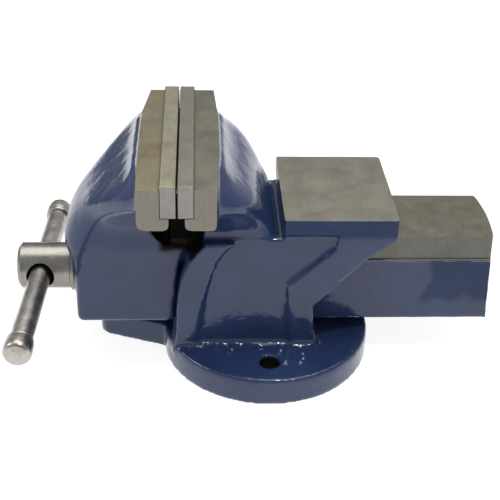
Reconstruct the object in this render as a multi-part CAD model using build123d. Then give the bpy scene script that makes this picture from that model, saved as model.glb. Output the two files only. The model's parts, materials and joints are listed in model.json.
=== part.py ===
from build123d import *
import math
import os

# A 150 mm bench vise, closed. Millimetres, +X towards the back of the slide bar, +Z up.
# The origin is midway between the two side bolt holes, on the underside of the base.

# Base flange
BASE_THICKNESS = 20.0
BASE_LOBE_RADIUS = 72.0
BASE_LOBE_OFFSET = 16.0
BASE_EDGE_ROUND = 2.5
TONGUE_TIP_X = -118.0
TONGUE_TIP_RADIUS = 10.0
TONGUE_ROOT_X = -62.0
TONGUE_ROOT_HALF = 27.0
BOLT_HOLE_RADIUS = 6.75
BOLT_HOLE_SPACING = 134.4
BASE_RECESS_RADIUS = 46.0
BASE_RECESS_DEPTH = 8.0

# Body walls around the slide bar
PANEL_HALF = 41.6
PANEL_FOOT_HALF = 46.4
RIM_HALF = 47.6
RIM_FOOT_HALF = 49.6
RIB_HALF = 45.6
RIB_FOOT_HALF = 48.6
SHOULDER_Z = 100.0
SHOULDER_FRONT_X = -42.3
WALL_FOOT_Z = 15.0
WALL_FRONT_X = -66.5
WALL_BACK_X = 31.7
RIM_BACK_X = -48.0

# Anvil
ANVIL_FRONT_X = 7.5
ANVIL_BACK_X = 81.6
ANVIL_HALF = 45.5
ANVIL_TOP_Z = 116.1
ANVIL_SIDE_HEIGHT = 12.0
ANVIL_CHAMFER = 1.0
ANVIL_UNDER_Z = ANVIL_TOP_Z - ANVIL_SIDE_HEIGHT + ANVIL_CHAMFER

# Jaws
JAW_HALF = 75.0
JAW_TOP_Z = 153.9
JAW_HEAD_HEIGHT = 27.6
JAW_LIP_HEIGHT = 8.2
JAW_LIP_SETBACK = 4.8
JAW_LIP_ROUND = 3.5
FIXED_HEAD_BACK_X = -34.3
FIXED_HEAD_END_X = -36.8
FIXED_HEAD_ROUND = 3.0
MOVING_HEAD_MIDDLE_X = -86.0
MOVING_HEAD_NEAR_X = -85.2
MOVING_HEAD_FAR_X = -80.8
MOVING_HEAD_TAPER_Y = 38.0
MOVING_HEAD_ROUND = 6.0

# Jaw plates, either side of the gripping plane
GRIP_X = -60.8
PLATE_GAP = 0.4
PLATE_THICKNESS = 10.3
PLATE_HEIGHT = 22.4
PLATE_EDGE = 0.6
SCREW_SPACING = 90.0
SCREW_Z = 145.5
SCREW_RADIUS = 4.0
SCREW_LENGTH = 19.0
SCREW_HEAD_RADIUS = 7.4
SCREW_SOCKET_ACROSS = 5.0
SCREW_SOCKET_DEPTH = 3.2
SCREW_SINK = 0.4
SCREW_CLEARANCE = 0.3
THREAD_CLEARANCE = 0.05

# Slide bar, part of the moving casting
SLIDE_HALF = 29.5
SLIDE_MACHINED_HALF = 28.9
SLIDE_TOP_Z = 93.9
SLIDE_STRIP_Z = 76.7
SLIDE_BOTTOM_Z = 27.6
SLIDE_BACK_X = 149.8
SLIDE_BACK_CROWN = 2.4
SLIDE_BACK_DRAFT = 4.5
SLIDE_CORNER = 2.5
SLIDE_HOLLOW_HALF = 20.0
SLIDE_HOLLOW_TOP_Z = 78.0
SLIDE_CLEARANCE = 0.25

# Lower front of the moving casting
MOVING_FRONT_X = -130.5
MOVING_BACK_X = -64.6
MOVING_HALF = 33.0
MOVING_SIDE_TOP_Z = 76.0
MOVING_ROUND = 4.0
FRONT_WALL_BACK_X = -112.0

# Spindle and the parts on it
SPINDLE_Z = 53.8
HEAD_RADIUS = 16.0
HEAD_FRONT_X = -171.6
HEAD_BACK_X = -135.6
HEAD_CHAMFER = 2.0
SHANK_RADIUS = 12.0
SHANK_BACK_X = -88.0
SCREW_THREAD_RADIUS = 11.0
SPINDLE_END_X = 138.0
RUNNING_CLEARANCE = 0.06
BOSS_RADIUS = 20.0
BOSS_HEIGHT = 3.0
WASHER_RADIUS = 17.5
WASHER_CLEARANCE = 0.3
SPRING_WIRE_RADIUS = 1.4
SPRING_TURNS = 3
SPRING_RADIUS = 14.2
SPRING_SPACE = 13.0
COLLAR_THICKNESS = 3.5
COLLAR_RADIUS = 17.5
PIN_RADIUS = 2.0
PIN_LEG = 15.5
PIN_EYE_RADIUS = 2.4
PIN_EYE_WIRE = 1.1
PIN_GAP = 0.2

# Nut on the floor of the body
NUT_FRONT_X = -44.0
NUT_BACK_X = 12.0
NUT_HALF = 17.5
NUT_TOP_Z = 74.0
NUT_ROUND = 8.0
NUT_BOLT_X = -16.0
NUT_BOLT_RADIUS = 6.0
NUT_BOLT_TIP_Z = 39.0
NUT_BOLT_SEAT_Z = 13.0
NUT_BOLT_HEAD_HEIGHT = 7.5
NUT_BOLT_HEAD_ACROSS = 19.0
NUT_WASHER_THICKNESS = 2.5
NUT_WASHER_RADIUS = 12.0
NUT_POCKET_RADIUS = 14.0
BOLT_CLEARANCE = 0.5

# Tommy bar, lying a little askew in the larger hole of the spindle head
BAR_X = -155.6
BAR_SKEW = 2.2
BAR_RADIUS = 7.2
BAR_NEAR_Y = -103.0
BAR_FAR_Y = 80.0
BAR_HOLE_X = -155.4
BAR_HOLE_RADIUS = 8.2
BAR_HOLE_MOUTH = 1.1
KNOB_RADIUS = 9.2
KNOB_LENGTH = 15.0
KNOB_ROUND = 2.5
SPIGOT_RADIUS = 4.5
SPIGOT_LENGTH = 11.0

SPARE = 2.0


def block(x0, x1, y0, y1, z0, z1):
    """A box between three pairs of limits."""
    centre = ((x0 + x1) / 2, (y0 + y1) / 2, (z0 + z1) / 2)
    return Pos(*centre) * Box(x1 - x0, y1 - y0, z1 - z0)


def rod_x(radius, x0, x1, y=0.0, z=SPINDLE_Z):
    """A round bar along X."""
    return Pos((x0 + x1) / 2, y, z) * Rot(0, 90, 0) * Cylinder(radius, x1 - x0)


def rod_y(radius, y0, y1, x, z=SPINDLE_Z):
    """A round bar along Y."""
    return Pos(x, (y0 + y1) / 2, z) * Rot(90, 0, 0) * Cylinder(radius, y1 - y0)


def rod_z(radius, z0, z1, x=0.0, y=0.0):
    """A round bar along Z."""
    return Pos(x, y, (z0 + z1) / 2) * Cylinder(radius, z1 - z0)


def lines(*points):
    """Straight edges from each point to the next."""
    return [Line(a, b) for a, b in zip(points, points[1:])]


def side_plate(edges, half):
    """A plate with an XZ outline, reaching as far to each side in Y."""
    return extrude(Plane.XZ * make_face(edges), half, both=True)


def drafted_plate(edges, half, foot_half):
    """A side plate that grows from one half width under the anvil to another at the foot."""
    section = lines(
        (-foot_half, WALL_FOOT_Z),
        (foot_half, WALL_FOOT_Z),
        (half, ANVIL_UNDER_Z),
        (-half, ANVIL_UNDER_Z),
        (-foot_half, WALL_FOOT_Z),
    )
    wedge = extrude(Plane.YZ * make_face(section), 2 * ANVIL_BACK_X, both=True)
    return side_plate(edges, foot_half) & wedge


def level_plate(edges, z0, z1):
    """A plate with an XY outline, between two heights."""
    return Pos(0, 0, z0) * extrude(make_face(edges), z1 - z0)


def neck(sections):
    """A smooth casting through level outlines: height, square end, round end, half width, corner radius."""
    faces = []
    for z, square_x, round_x, half, radius in sections:
        face = Pos((square_x + round_x) / 2, 0) * Rectangle(abs(round_x - square_x), 2 * half)
        by_x = face.vertices().sort_by(Axis.X)
        round_ends = by_x[-2:] if round_x > square_x else by_x[:2]
        faces.append(Pos(0, 0, z) * fillet(round_ends, radius))
    return loft(faces)


# Fixed casting


def base_flange():
    lobes = [Pos(0, side * BASE_LOBE_OFFSET) * Circle(BASE_LOBE_RADIUS) for side in (-1, 1)]
    waist = Rectangle(2 * BASE_LOBE_RADIUS, 2 * BASE_LOBE_OFFSET)
    tip = Pos(TONGUE_TIP_X + TONGUE_TIP_RADIUS, 0) * Circle(TONGUE_TIP_RADIUS)
    root = Pos(TONGUE_ROOT_X, 0) * Rectangle(SPARE, 2 * TONGUE_ROOT_HALF)
    tongue = make_hull(tip.edges() + root.edges())
    plan = lobes[0] + lobes[1] + waist + tongue
    flange = extrude(plan, BASE_THICKNESS)
    flange = fillet(flange.faces().sort_by(Axis.Z)[-1].edges(), BASE_EDGE_ROUND)
    flange -= rod_z(BASE_RECESS_RADIUS, -SPARE, BASE_RECESS_DEPTH)
    for side in (-1, 1):
        flange -= rod_z(BOLT_HOLE_RADIUS, -SPARE, BASE_THICKNESS + SPARE, y=side * BOLT_HOLE_SPACING / 2)
    return flange


def front_edges():
    """The front of the side walls, upright and then leaning back under the jaw."""
    foot = (WALL_FRONT_X, WALL_FOOT_Z)
    bend = (-61.5, 58.0)
    shoulder = (SHOULDER_FRONT_X, SHOULDER_Z)
    return [
        Spline(foot, (-63.4, 24.0), (-62.4, 36.0), bend),
        Spline(bend, (-57.2, 78.0), (-50.0, 92.0), shoulder),
    ]


def back_points():
    """The back of the side walls, from under the anvil down to the foot."""
    return [
        (ANVIL_BACK_X, ANVIL_UNDER_Z),
        (ANVIL_BACK_X, 101.5),
        (62.4, 86.0),
        (29.5, 50.0),
        (WALL_BACK_X, WALL_FOOT_Z),
    ]


def side_walls():
    """The recessed side panels, as one block that is hollowed later."""
    edges = front_edges() + lines(
        (SHOULDER_FRONT_X, SHOULDER_Z),
        (ANVIL_FRONT_X + ANVIL_CHAMFER, SHOULDER_Z),
        (ANVIL_FRONT_X + ANVIL_CHAMFER, ANVIL_UNDER_Z),
        *back_points(),
        (WALL_FRONT_X, WALL_FOOT_Z),
    )
    return drafted_plate(edges, PANEL_HALF, PANEL_FOOT_HALF)


def front_rim():
    """The raised rim along the front of each panel."""
    top_back = (-22.2, SHOULDER_Z)
    bend = (-46.4, 44.0)
    edges = front_edges() + [
        Line((SHOULDER_FRONT_X, SHOULDER_Z), top_back),
        Spline(top_back, (-31.2, 92.0), (-40.2, 73.0), bend),
    ]
    edges += lines(bend, (RIM_BACK_X, WALL_FOOT_Z), (WALL_FRONT_X, WALL_FOOT_Z))
    return drafted_plate(edges, RIM_HALF, RIM_FOOT_HALF)


def back_rib():
    """The upright and slanting rib that carries the back of the anvil."""
    foot = (15.0, WALL_FOOT_Z)
    edges = lines(foot, (11.1, 67.0), (41.9, 94.6), (44.0, ANVIL_UNDER_Z), *back_points(), foot)
    return drafted_plate(edges, RIB_HALF, RIB_FOOT_HALF)


def anvil():
    top = block(
        ANVIL_FRONT_X,
        ANVIL_BACK_X,
        -ANVIL_HALF,
        ANVIL_HALF,
        ANVIL_TOP_Z - ANVIL_SIDE_HEIGHT,
        ANVIL_TOP_Z,
    )
    return chamfer(top.faces().sort_by(Axis.Z)[-1].edges(), ANVIL_CHAMFER)


def fixed_neck():
    buried_x = GRIP_X + PLATE_GAP / 2 + PLATE_THICKNESS + SPARE
    return neck(
        [
            (96.0, -46.0, 4.0, 42.0, 6.0),
            (104.0, -44.0, 2.0, 41.0, 10.0),
            (112.0, -44.0, -1.0, 44.0, 14.0),
            (120.0, -45.0, -5.0, 52.0, 18.0),
            (128.0, -46.0, -10.0, 62.0, 21.0),
            (136.0, buried_x, -18.5, 68.0, 22.0),
            (144.0, buried_x, -27.0, 61.0, 16.0),
            (152.0, buried_x, -34.5, 46.0, 9.0),
        ]
    )


def jaw_head(way, back_x, outer_round):
    """The end profile of a jaw head with the lip under its plate. way points from the plate to the head."""
    bottom = JAW_TOP_Z - JAW_HEAD_HEIGHT
    lip_top = bottom + JAW_LIP_HEIGHT
    lip_x = GRIP_X + way * JAW_LIP_SETBACK
    plate_back = GRIP_X + way * (PLATE_GAP / 2 + PLATE_THICKNESS)
    corners = [
        (lip_x, bottom),
        (back_x, bottom),
        (back_x, JAW_TOP_Z),
        (plate_back, JAW_TOP_Z),
        (plate_back, lip_top),
        (lip_x, lip_top),
    ]
    face = make_face(lines(*corners, corners[0]))
    low = face.vertices().sort_by(Axis.Y)[:2].sort_by(Axis.X)
    lip_corner, outer_corner = low if way > 0 else low[::-1]
    face = fillet(lip_corner, JAW_LIP_ROUND)
    low = face.vertices().sort_by(Axis.X)
    outer_corner = (low[-2:] if way > 0 else low[:2]).sort_by(Axis.Y)[0]
    face = fillet(outer_corner, outer_round)
    return extrude(Plane.XZ * face, JAW_HALF, both=True)


def fixed_head():
    """The fixed jaw's head, crowned along its back."""
    head = jaw_head(1, FIXED_HEAD_BACK_X, FIXED_HEAD_ROUND)
    near = (FIXED_HEAD_END_X, -JAW_HALF)
    far = (FIXED_HEAD_END_X, JAW_HALF)
    plan = lines(far, (GRIP_X, JAW_HALF), (GRIP_X, -JAW_HALF), near)
    plan.append(ThreePointArc(near, (FIXED_HEAD_BACK_X, 0), far))
    return head & level_plate(plan, 0, JAW_TOP_Z + SPARE)


def screw_axes():
    """The places across the jaw where the plate screws stand."""
    return (-SCREW_SPACING / 2, SCREW_SPACING / 2)


def tapped_holes(way):
    """Holes for the plate screws, starting at the back of a plate."""
    start = GRIP_X + way * (PLATE_GAP / 2 + PLATE_THICKNESS - SPARE)
    end = GRIP_X + way * (PLATE_GAP / 2 + SCREW_LENGTH + SPARE)
    radius = SCREW_RADIUS + THREAD_CLEARANCE
    return [rod_x(radius, min(start, end), max(start, end), y, SCREW_Z) for y in screw_axes()]


def fixed_jaw_body():
    body = base_flange() + side_walls() + front_rim() + back_rib() + anvil()
    body += fixed_neck()
    body += fixed_head()
    half = SLIDE_HALF + SLIDE_CLEARANCE
    floor = SLIDE_BOTTOM_Z - SLIDE_CLEARANCE
    front = WALL_FRONT_X - SPARE
    body -= block(front, ANVIL_BACK_X + SPARE, -half, half, floor, SLIDE_TOP_Z + SLIDE_CLEARANCE)
    body -= rod_z(NUT_BOLT_RADIUS + BOLT_CLEARANCE, 0, floor + SPARE, x=NUT_BOLT_X)
    body -= rod_z(NUT_POCKET_RADIUS, 0, NUT_BOLT_SEAT_Z, x=NUT_BOLT_X)
    for hole in tapped_holes(1):
        body -= hole
    return body


# Moving casting


def slide_section(z, half, back_x):
    """The slide bar's outline at one height, with its crowned back end."""
    face = make_face(
        lines(
            (back_x, half),
            (MOVING_BACK_X - SPARE, half),
            (MOVING_BACK_X - SPARE, -half),
            (back_x, -half),
        )
        + [ThreePointArc((back_x, -half), (back_x + SLIDE_BACK_CROWN, 0), (back_x, half))]
    )
    corners = [v for v in face.vertices() if v.X > back_x - 1]
    return Pos(0, 0, z) * fillet(corners, SLIDE_CORNER)


def slide_bar():
    lean = SLIDE_BACK_DRAFT / (SLIDE_TOP_Z - SLIDE_BOTTOM_Z)
    strip_x = SLIDE_BACK_X + lean * (SLIDE_TOP_Z - SLIDE_STRIP_Z)
    low_x = SLIDE_BACK_X + SLIDE_BACK_DRAFT
    cast = loft(
        [
            slide_section(SLIDE_BOTTOM_Z, SLIDE_HALF, low_x),
            slide_section(SLIDE_STRIP_Z, SLIDE_HALF, strip_x),
        ],
        ruled=True,
    )
    machined = loft(
        [
            slide_section(SLIDE_STRIP_Z, SLIDE_MACHINED_HALF, strip_x),
            slide_section(SLIDE_TOP_Z, SLIDE_MACHINED_HALF, SLIDE_BACK_X),
        ],
        ruled=True,
    )
    return cast + machined


def moving_front():
    front = block(MOVING_FRONT_X, MOVING_BACK_X, -MOVING_HALF, MOVING_HALF, SLIDE_BOTTOM_Z, MOVING_SIDE_TOP_Z)
    by_x = front.edges().filter_by(Axis.Z).sort_by(Axis.X)
    low = front.faces().sort_by(Axis.Z)[0].edges()
    front = fillet(by_x[:2] + low, MOVING_ROUND)
    return front + rod_x(BOSS_RADIUS, MOVING_FRONT_X - BOSS_HEIGHT, MOVING_FRONT_X + SPARE)


def moving_flanks():
    """The back of the moving casting's sides, shaped to close against the fixed walls."""
    foot = (-65.4, SLIDE_BOTTOM_Z + MOVING_ROUND)
    corner = (-55.6, 88.0)
    edges = [
        Spline(foot, (-63.6, 48.0), (-62.0, 66.0), (-59.2, 80.0), corner),
        *lines(corner, (-61.9, 88.9), (-71.6, 91.6), (-85.0, MOVING_SIDE_TOP_Z), (-85.0, foot[1]), foot),
    ]
    return side_plate(edges, MOVING_HALF)


def moving_neck():
    buried_x = GRIP_X - PLATE_GAP / 2 - PLATE_THICKNESS - SPARE
    return neck(
        [
            (70.0, MOVING_BACK_X, MOVING_FRONT_X, MOVING_HALF, 6.0),
            (78.0, -65.0, -135.5, 33.2, 13.0),
            (85.0, -66.6, -138.8, 33.8, 19.0),
            (92.0, -71.0, -137.6, 34.6, 21.0),
            (100.0, -77.0, -134.6, 36.0, 22.0),
            (108.0, -79.0, -130.0, 39.0, 24.0),
            (116.0, -79.0, -123.6, 46.0, 26.0),
            (124.0, -77.5, -115.4, 55.0, 26.0),
            (132.0, -75.0, -106.0, 64.0, 25.0),
            (140.0, buried_x, -97.0, 67.0, 21.0),
            (146.0, buried_x, -91.6, 60.0, 15.0),
            (152.0, buried_x, -86.5, 46.0, 9.0),
        ]
    )


def moving_head():
    head = jaw_head(-1, MOVING_HEAD_MIDDLE_X, MOVING_HEAD_ROUND)
    plan = lines(
        (GRIP_X, -JAW_HALF),
        (MOVING_HEAD_NEAR_X, -JAW_HALF),
        (MOVING_HEAD_MIDDLE_X, -MOVING_HEAD_TAPER_Y),
        (MOVING_HEAD_MIDDLE_X, MOVING_HEAD_TAPER_Y),
        (MOVING_HEAD_FAR_X, JAW_HALF),
        (GRIP_X, JAW_HALF),
        (GRIP_X, -JAW_HALF),
    )
    return head & level_plate(plan, 0, JAW_TOP_Z + SPARE)


def moving_jaw_body():
    body = moving_front() + moving_flanks() + moving_neck() + moving_head() + slide_bar()
    body -= block(
        FRONT_WALL_BACK_X,
        SLIDE_BACK_X + SLIDE_BACK_DRAFT + 2 * SPARE,
        -SLIDE_HOLLOW_HALF,
        SLIDE_HOLLOW_HALF,
        SLIDE_BOTTOM_Z - SPARE,
        SLIDE_HOLLOW_TOP_Z,
    )
    shank_hole = SHANK_RADIUS + RUNNING_CLEARANCE
    body -= rod_x(shank_hole, MOVING_FRONT_X - BOSS_HEIGHT - SPARE, FRONT_WALL_BACK_X + SPARE)
    for hole in tapped_holes(-1):
        body -= hole
    return body


# Jaw plates and their screws


def jaw_plate(way):
    """A serrated jaw plate. way points from its gripping face to its back."""
    face_x = GRIP_X + way * PLATE_GAP / 2
    back_x = face_x + way * PLATE_THICKNESS
    low_z = JAW_TOP_Z - JAW_HEAD_HEIGHT + JAW_LIP_HEIGHT
    x0, x1 = sorted((face_x, back_x))
    plate = block(x0, x1, -JAW_HALF, JAW_HALF, low_z, low_z + PLATE_HEIGHT)
    plate = chamfer(plate.edges(), PLATE_EDGE)
    hole = SCREW_RADIUS + SCREW_CLEARANCE
    mouth = SCREW_HEAD_RADIUS + SCREW_CLEARANCE
    sink = SCREW_HEAD_RADIUS - SCREW_RADIUS
    rim = sorted((face_x - way * SPARE, face_x + way * SCREW_SINK))
    for y in screw_axes():
        plate -= rod_x(hole, x0 - SPARE, x1 + SPARE, y, SCREW_Z)
        plate -= rod_x(mouth, *rim, y, SCREW_Z)
        cone = Rot(0, -90 * way, 0) * Cone(hole, mouth, sink)
        plate -= Pos(face_x + way * (SCREW_SINK + sink / 2), y, SCREW_Z) * cone
    return plate


def plate_screw(way, y):
    """A countersunk socket screw, its head towards the gripping plane."""
    head_x = GRIP_X + way * (PLATE_GAP / 2 + SCREW_SINK)
    sink = SCREW_HEAD_RADIUS - SCREW_RADIUS
    shank = Pos(0, 0, SCREW_LENGTH / 2) * Cylinder(SCREW_RADIUS, SCREW_LENGTH)
    head = Pos(0, 0, sink / 2) * Cone(SCREW_HEAD_RADIUS, SCREW_RADIUS, sink)
    across_corners = SCREW_SOCKET_ACROSS / math.cos(math.pi / 6)
    socket = extrude(RegularPolygon(across_corners / 2, 6), SCREW_SOCKET_DEPTH)
    return Pos(head_x, y, SCREW_Z) * Rot(0, 90 * way, 0) * (shank + head - socket)


# Spindle and what holds it


def spindle():
    head = rod_x(HEAD_RADIUS, HEAD_FRONT_X, HEAD_BACK_X)
    head = chamfer(head.edges(), HEAD_CHAMFER)
    shank = rod_x(SHANK_RADIUS, HEAD_BACK_X - SPARE, SHANK_BACK_X)
    thread = rod_x(SCREW_THREAD_RADIUS, SHANK_BACK_X - SPARE, SPINDLE_END_X)
    thread = chamfer(thread.edges().sort_by(Axis.X)[-1], SPARE)
    turned = head + shank + thread
    turned -= rod_y(BAR_HOLE_RADIUS, -2 * HEAD_RADIUS, 2 * HEAD_RADIUS, BAR_HOLE_X)
    mouth = Cone(BAR_HOLE_RADIUS, BAR_HOLE_RADIUS + 2 * BAR_HOLE_MOUTH, 2 * BAR_HOLE_MOUTH)
    for side in (-1, 1):
        turned -= Pos(BAR_HOLE_X, side * HEAD_RADIUS, SPINDLE_Z) * Rot(-90 * side, 0, 0) * mouth
    turned -= rod_z(PIN_RADIUS + PIN_GAP, 0, 2 * SPINDLE_Z, x=pin_x())
    return turned


def collar_x():
    """The front face of the retaining collar."""
    return FRONT_WALL_BACK_X + SPRING_SPACE


def pin_x():
    return collar_x() + COLLAR_THICKNESS + PIN_RADIUS + PIN_GAP


def ring_x(outer, inner, x0, x1):
    """A flat ring around the spindle."""
    return rod_x(outer, x0, x1) - rod_x(inner, x0 - SPARE, x1 + SPARE)


def thrust_washer():
    return ring_x(WASHER_RADIUS, SHANK_RADIUS + WASHER_CLEARANCE, HEAD_BACK_X, MOVING_FRONT_X - BOSS_HEIGHT)


def retaining_collar():
    back = collar_x() + COLLAR_THICKNESS
    return ring_x(COLLAR_RADIUS, SHANK_RADIUS + WASHER_CLEARANCE, collar_x(), back)


def return_spring():
    height = SPRING_SPACE - 2 * (SPRING_WIRE_RADIUS + PIN_GAP)
    coil = Helix(pitch=height / SPRING_TURNS, height=height, radius=SPRING_RADIUS)
    wire = Plane(origin=coil @ 0, z_dir=coil % 0) * Circle(SPRING_WIRE_RADIUS)
    start = FRONT_WALL_BACK_X + SPRING_WIRE_RADIUS + PIN_GAP
    return Pos(start, 0, SPINDLE_Z) * Rot(0, 90, 0) * sweep(wire, coil)


def split_pin():
    legs = rod_z(PIN_RADIUS, SPINDLE_Z - PIN_LEG, SPINDLE_Z + PIN_LEG - PIN_EYE_RADIUS, x=pin_x())
    slit = block(pin_x() - PIN_GAP, pin_x() + PIN_GAP, -SPARE, SPARE, 0, SPINDLE_Z)
    eye = Pos(pin_x(), 0, SPINDLE_Z + PIN_LEG) * Rot(0, 90, 0) * Torus(PIN_EYE_RADIUS, PIN_EYE_WIRE)
    return legs - slit + eye


# Nut


def spindle_nut():
    floor = SLIDE_BOTTOM_Z - SLIDE_CLEARANCE
    nut = block(NUT_FRONT_X, NUT_BACK_X, -NUT_HALF, NUT_HALF, floor, NUT_TOP_Z)
    nut = fillet(nut.faces().sort_by(Axis.Z)[-1].edges().filter_by(Axis.X), NUT_ROUND)
    nut -= rod_x(SCREW_THREAD_RADIUS + RUNNING_CLEARANCE, NUT_FRONT_X - SPARE, NUT_BACK_X + SPARE)
    return nut - rod_z(NUT_BOLT_RADIUS + THREAD_CLEARANCE, 0, NUT_BOLT_TIP_Z + 1, x=NUT_BOLT_X)


def nut_bolt_washer():
    low = NUT_BOLT_SEAT_Z - NUT_WASHER_THICKNESS
    disc = rod_z(NUT_WASHER_RADIUS, low, NUT_BOLT_SEAT_Z, x=NUT_BOLT_X)
    return disc - rod_z(NUT_BOLT_RADIUS + BOLT_CLEARANCE, 0, SPINDLE_Z, x=NUT_BOLT_X)


def nut_bolt():
    head_top = NUT_BOLT_SEAT_Z - NUT_WASHER_THICKNESS
    across_corners = NUT_BOLT_HEAD_ACROSS / math.cos(math.pi / 6)
    hexagon = extrude(RegularPolygon(across_corners / 2, 6), NUT_BOLT_HEAD_HEIGHT)
    head = Pos(NUT_BOLT_X, 0, head_top - NUT_BOLT_HEAD_HEIGHT) * hexagon
    return head + rod_z(NUT_BOLT_RADIUS, head_top, NUT_BOLT_TIP_Z, x=NUT_BOLT_X)


# Tommy bar, drawn along Y and then turned to its resting skew


def askew(shape):
    return Pos(BAR_X, 0, SPINDLE_Z) * Rot(0, 0, -BAR_SKEW) * Pos(-BAR_X, 0, -SPINDLE_Z) * shape


def tommy_bar():
    bar = rod_y(BAR_RADIUS, BAR_NEAR_Y + KNOB_LENGTH, BAR_FAR_Y - KNOB_LENGTH, BAR_X)
    spigot = rod_y(
        SPIGOT_RADIUS,
        BAR_NEAR_Y + KNOB_LENGTH - SPIGOT_LENGTH,
        BAR_FAR_Y - KNOB_LENGTH + SPIGOT_LENGTH,
        BAR_X,
    )
    return askew(bar + spigot)


def handle_knob(inner_y, outer_y):
    """A rounded knob pressed on the spigot at one end of the bar."""
    knob = rod_y(KNOB_RADIUS, min(inner_y, outer_y), max(inner_y, outer_y), BAR_X)
    knob = fillet(knob.edges().filter_by(GeomType.CIRCLE), KNOB_ROUND)
    way = 1 if outer_y > inner_y else -1
    end = inner_y + way * SPIGOT_LENGTH
    knob -= rod_y(SPIGOT_RADIUS, min(inner_y - way, end), max(inner_y - way, end), BAR_X)
    return askew(knob)


def all_parts():
    near, far = screw_axes()
    return {
        "fixed_jaw_body": fixed_jaw_body(),
        "moving_jaw_body": moving_jaw_body(),
        "fixed_jaw_plate": jaw_plate(1),
        "moving_jaw_plate": jaw_plate(-1),
        "fixed_plate_screw_near": plate_screw(1, near),
        "fixed_plate_screw_far": plate_screw(1, far),
        "moving_plate_screw_near": plate_screw(-1, near),
        "moving_plate_screw_far": plate_screw(-1, far),
        "spindle": spindle(),
        "thrust_washer": thrust_washer(),
        "return_spring": return_spring(),
        "retaining_collar": retaining_collar(),
        "split_pin": split_pin(),
        "spindle_nut": spindle_nut(),
        "nut_bolt": nut_bolt(),
        "nut_bolt_washer": nut_bolt_washer(),
        "tommy_bar": tommy_bar(),
        "near_handle_knob": handle_knob(BAR_NEAR_Y + KNOB_LENGTH, BAR_NEAR_Y),
        "far_handle_knob": handle_knob(BAR_FAR_Y - KNOB_LENGTH, BAR_FAR_Y),
    }


os.makedirs("parts", exist_ok=True)
for name, shape in all_parts().items():
    export_step(shape, f"parts/{name}.step")
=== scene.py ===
import json
import math

import bmesh
import bpy
import numpy as np
from mathutils import Matrix, Vector, noise


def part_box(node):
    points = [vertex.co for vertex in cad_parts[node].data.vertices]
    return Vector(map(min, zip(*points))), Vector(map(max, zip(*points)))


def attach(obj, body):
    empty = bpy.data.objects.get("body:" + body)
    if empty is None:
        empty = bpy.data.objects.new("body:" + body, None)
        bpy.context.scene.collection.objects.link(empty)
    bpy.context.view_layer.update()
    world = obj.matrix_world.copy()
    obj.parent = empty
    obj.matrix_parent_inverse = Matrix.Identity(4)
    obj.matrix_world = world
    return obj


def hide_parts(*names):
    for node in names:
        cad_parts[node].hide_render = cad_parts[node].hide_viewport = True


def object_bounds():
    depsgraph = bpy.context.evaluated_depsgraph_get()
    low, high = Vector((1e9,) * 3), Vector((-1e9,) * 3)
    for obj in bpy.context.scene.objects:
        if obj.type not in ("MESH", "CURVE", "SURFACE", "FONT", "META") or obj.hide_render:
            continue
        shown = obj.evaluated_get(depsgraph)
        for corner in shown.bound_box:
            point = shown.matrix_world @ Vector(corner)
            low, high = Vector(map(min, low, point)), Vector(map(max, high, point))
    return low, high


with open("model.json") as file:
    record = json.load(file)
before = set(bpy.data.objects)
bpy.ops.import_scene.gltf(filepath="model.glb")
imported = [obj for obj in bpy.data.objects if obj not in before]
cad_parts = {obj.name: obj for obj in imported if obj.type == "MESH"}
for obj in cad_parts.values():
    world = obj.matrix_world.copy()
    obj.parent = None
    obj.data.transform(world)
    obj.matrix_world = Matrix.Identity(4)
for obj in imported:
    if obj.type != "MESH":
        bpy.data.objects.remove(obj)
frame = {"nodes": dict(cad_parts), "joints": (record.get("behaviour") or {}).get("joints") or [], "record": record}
CAD_LOW, CAD_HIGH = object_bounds()

# Lengths in metres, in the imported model's frame.
MM = 0.001
MOUNTS = {m["name"]: m for m in frame["record"]["mounts"]}
JOINTS = {j["name"]: j for j in frame["joints"]}
ANVIL_TOP = MOUNTS["anvil_face"]["pos_m"][2]
BOLT_HOLE_OUT = MOUNTS["base_bolts"]["dims"]["spacing_y_mm"] / 2 * MM
SPINDLE_Z = JOINTS["spindle_turn"]["pos_m"][2]
BAR_WAY = Vector(JOINTS["tommy_bar_slide"]["axis"])
FIXED_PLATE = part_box("fixed_jaw_plate")
MOVING_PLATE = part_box("moving_jaw_plate")
MOVING_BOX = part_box("moving_jaw_body")
JAW_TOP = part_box("fixed_jaw_body")[1].z
JAW_HALF = FIXED_PLATE[1].y
SEAT_Z = FIXED_PLATE[0].z
SEAT_DEPTH = 5.7 * MM
HEAD_LOW = 120 * MM
FLANGE_TOP = 20 * MM

# The worked faces of the slide bar, and where they begin
SLIDE_TOP = 93.9 * MM
SLIDE_STRIP = 76.7 * MM
SLIDE_MACHINED_HALF = 28.9 * MM
NECK_BACK = -71.0 * MM
FLANK_BACK = -55.0 * MM

# The anvil's worked face
ANVIL_FRONT = 5 * MM
ANVIL_BACK = 84 * MM
ANVIL_HALF = 50 * MM
ANVIL_CHAMFER = 1.0 * MM

# Making the castings
STOCK = 5 * MM
SIDE_STOCK = 2 * MM
VOXEL = 1.3 * MM
ROUNDING_PASSES = 4
NECK_PASSES = 90
RIPPLE_LENGTH = 22 * MM
RIPPLE_DEPTH = 0.25 * MM
FITTED_RELIEF = 0.8
SHARP_ANGLE = math.radians(32)
TOUCH = 0.1 * MM
# The band of painted highlight under the slide bar's strips: how deep it reaches and the length of its waves.
HIGHLIGHT_BAND_DEPTH = 2.2 * MM
HIGHLIGHT_BAND_WAVE = 9 * MM

# Lumps and runs in the enamel of the flange
LUMP_SIZE = 5 * MM
LUMP_HEIGHT = 0.8 * MM
LUMPS_EVERYWHERE = 0.3
RUN_WIDTH = 1.5 * MM
RUN_SWAY = 1.6 * MM
RUN_BENDS = 5.5
RUN_HEIGHT = 1.0 * MM
BEAD_LENGTH = 4.5 * MM
BEAD_SHARE = 0.8
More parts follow.
